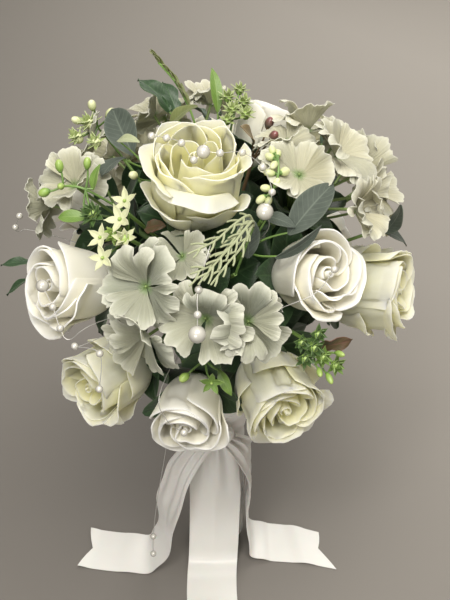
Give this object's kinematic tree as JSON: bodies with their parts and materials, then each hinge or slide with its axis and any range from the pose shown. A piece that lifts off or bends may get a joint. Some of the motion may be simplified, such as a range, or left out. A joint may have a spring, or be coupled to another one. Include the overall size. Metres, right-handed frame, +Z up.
{
  "type": "bouquet",
  "caption": "Round hand-tied bouquet of roses and hydrangea with leaves, berries and pearl wires, its stems bound in satin with ribbon tails.",
  "frame": {"origin": "centre of the underside of the bound stem ends, on the surface that the bouquet stands on", "axes": "+Z up along the handle towards the flowers, -Y towards the viewer of the picture, +X to that viewer's right"},
  "size_m": [0.2617, 0.2532, 0.3881],
  "materials": {
    "green_stem": "matt green stem",
    "white_satin": "white satin",
    "cream_silk_petal": "matt cream silk",
    "white_foam_petal": "matt white foam sheet",
    "white_silk_floret": "matt white silk",
    "white_pearl": "pearl",
    "sage_leaf": "matt grey green",
    "pale_green_spray": "matt pale green",
    "yellow_green_flower": "matt yellow green",
    "bright_green_spray": "satin bright green",
    "dark_green_leaf": "satin dark green",
    "olive_leaf": "matt olive",
    "burgundy_berry": "glossy burgundy",
    "red_edged_leaf": "matt red green"
  },
  "bodies": {
    "root": {"stem_bundle": "green_stem", "satin_wrap": "white_satin", "ribbon_tie": "white_satin", "ribbon_front": "white_satin", "rose_crown": "cream_silk_petal", "rose_left": "white_foam_petal", "rose_low_left": "cream_silk_petal", "rose_low_centre": "white_foam_petal", "rose_low_right": "cream_silk_petal", "rose_right": "white_foam_petal", "rose_far_right": "cream_silk_petal", "rose_crown_back": "white_foam_petal", "rose_back_right": "cream_silk_petal", "rose_back_low_1": "white_foam_petal", "rose_back_low_2": "cream_silk_petal", "rose_back_low_3": "white_foam_petal", "rose_back_low_4": "cream_silk_petal", "rose_back_left": "white_foam_petal", "rose_back_middle": "cream_silk_petal", "rose_back_upper_left": "white_foam_petal", "hydrangea_front": "white_silk_floret", "hydrangea_upper_right": "white_silk_floret", "hydrangea_upper_left": "white_silk_floret", "hydrangea_crown_back": "white_silk_floret", "hydrangea_back_right": "white_silk_floret", "hydrangea_back_middle": "white_silk_floret", "hydrangea_back_left": "white_silk_floret", "sage_right": "sage_leaf", "sage_upper_left": "sage_leaf", "leaves_right": "sage_leaf", "leaves_back_right": "sage_leaf", "cream_buds": "pale_green_spray", "fern": "pale_green_spray", "pale_leaf_upper_left": "pale_green_spray", "pale_berries": "pale_green_spray", "star_flowers": "yellow_green_flower", "berry_left": "bright_green_spray", "long_leaf_top": "bright_green_spray", "green_clusters_top": "bright_green_spray", "green_low_right": "bright_green_spray", "green_low_centre": "bright_green_spray", "curled_leaf_top": "dark_green_leaf", "green_leaves_behind": "dark_green_leaf", "leaves_far_left": "dark_green_leaf", "leaves_back": "dark_green_leaf", "olive_twigs": "olive_leaf", "olive_leaf_top": "olive_leaf", "burgundy_berries": "burgundy_berry", "leaf_under_crown": "red_edged_leaf", "pearls_crown": "white_pearl", "pearls_front": "white_pearl", "pearls_left": "white_pearl", "pearls_far_left": "white_pearl", "pearls_low_left": "white_pearl", "pearls_low_centre": "white_pearl", "pearls_right": "white_pearl", "pearls_hanging": "white_pearl"}
  },
  "joints": []
}
